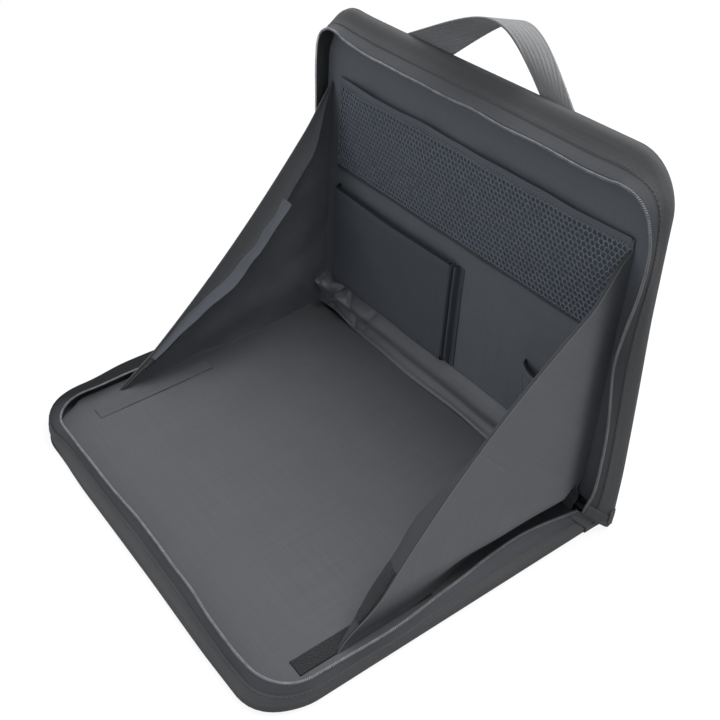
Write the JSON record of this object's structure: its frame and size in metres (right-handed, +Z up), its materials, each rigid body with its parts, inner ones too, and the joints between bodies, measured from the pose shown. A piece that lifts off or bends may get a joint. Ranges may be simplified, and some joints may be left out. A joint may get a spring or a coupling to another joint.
{
  "type": "car laptop desk",
  "caption": "Zip-round folding laptop desk: soft-walled tray, leaning back panel with mesh and flat pockets, cloth gussets at both sides and a twisted webbing handle on the top edge.",
  "frame": {"origin": "under the middle of the tray, on the plane it rests on", "axes": "+X along the fold to the right, -Y towards the tray's front edge, +Z up"},
  "size_m": [0.3998, 0.3659, 0.344],
  "materials": {
    "cloth": "charcoal oxford cloth",
    "lining": "grey plain-weave lining",
    "trim": "dark tape and binding",
    "satin": "light satin strip",
    "net": "black knitted mesh",
    "hook_and_loop": "black hook and loop tape",
    "webbing": "grey woven webbing",
    "board": "plain stiffening board",
    "nylon": "nylon zip coil",
    "black_metal": "black lacquered metal"
  },
  "bodies": {
    "tray": {"tray_cover": "cloth", "tray_board": "board", "tray_lining": "lining", "tray_band": "cloth", "tray_zip_tape": "trim", "tray_zip_chain": "nylon", "tray_piping": "trim", "loop_tape_left": "hook_and_loop", "loop_tape_right": "hook_and_loop", "spine_strip": "cloth", "hinge_lining": "satin", "corner_pleat_left": "cloth", "corner_pleat_right": "cloth", "gusset_left_lower": "cloth", "gusset_right_lower": "cloth", "gusset_hem_left_lower": "trim", "gusset_hem_right_lower": "trim", "hook_tape_left": "hook_and_loop", "hook_tape_right": "hook_and_loop"},
    "back": {"back_cover": "cloth", "back_board": "board", "back_lining": "lining", "back_band": "cloth", "back_zip_tape": "trim", "back_zip_chain": "nylon", "back_piping": "trim", "gusset_left_upper": "cloth", "gusset_right_upper": "cloth", "gusset_hem_left_upper": "trim", "gusset_hem_right_upper": "trim", "mesh_pocket_net": "net", "mesh_pocket_hem": "trim", "mesh_pocket_foot": "trim", "mesh_pocket_edge_left": "trim", "mesh_pocket_edge_right": "trim", "phone_pocket_panel": "lining", "phone_pocket_hem": "lining", "phone_pocket_foot": "lining", "phone_pocket_edge": "lining", "phone_pocket_pleat": "lining", "card_pocket_panel": "lining", "card_pocket_hem": "lining", "card_pocket_foot": "lining", "card_pocket_edge_left": "lining", "card_pocket_edge_right": "lining", "handle_tab_left": "webbing", "handle_tab_right": "webbing"},
    "handle": {"handle_strap": "webbing"},
    "zip_slider": {"zip_slider": "black_metal"},
    "zip_pull": {"zip_pull": "black_metal"}
  },
  "joints": [
    {"name": "back_fold", "type": "hinge", "parent": "tray", "child": "back", "pos_m": [0, 0.13233, 0.0232], "axis": [1, 0, 0], "range_deg": [0, 98], "deforming": ["spine_strip", "hinge_lining", "corner_pleat_left", "corner_pleat_right", "gusset_left_lower", "gusset_right_lower", "gusset_hem_left_lower", "gusset_hem_right_lower", "hook_tape_left", "hook_tape_right", "gusset_left_upper", "gusset_right_upper", "gusset_hem_left_upper", "gusset_hem_right_upper"]},
    {"name": "handle_swing", "type": "hinge", "parent": "back", "child": "handle", "pos_m": [0, 0.19606, 0.29986], "axis": [-1, 0, 0], "range_deg": [0, 85]},
    {"name": "zip_slide", "type": "slide", "parent": "tray", "child": "zip_slider", "axis": [0, -1, 0], "range_m": [0, 0.225]},
    {"name": "zip_pull_swing", "type": "hinge", "parent": "zip_slider", "child": "zip_pull", "pos_m": [-0.19645, 0.1205, 0.0232], "axis": [0, 0, -1], "range_deg": [0, 170]}
  ]
}
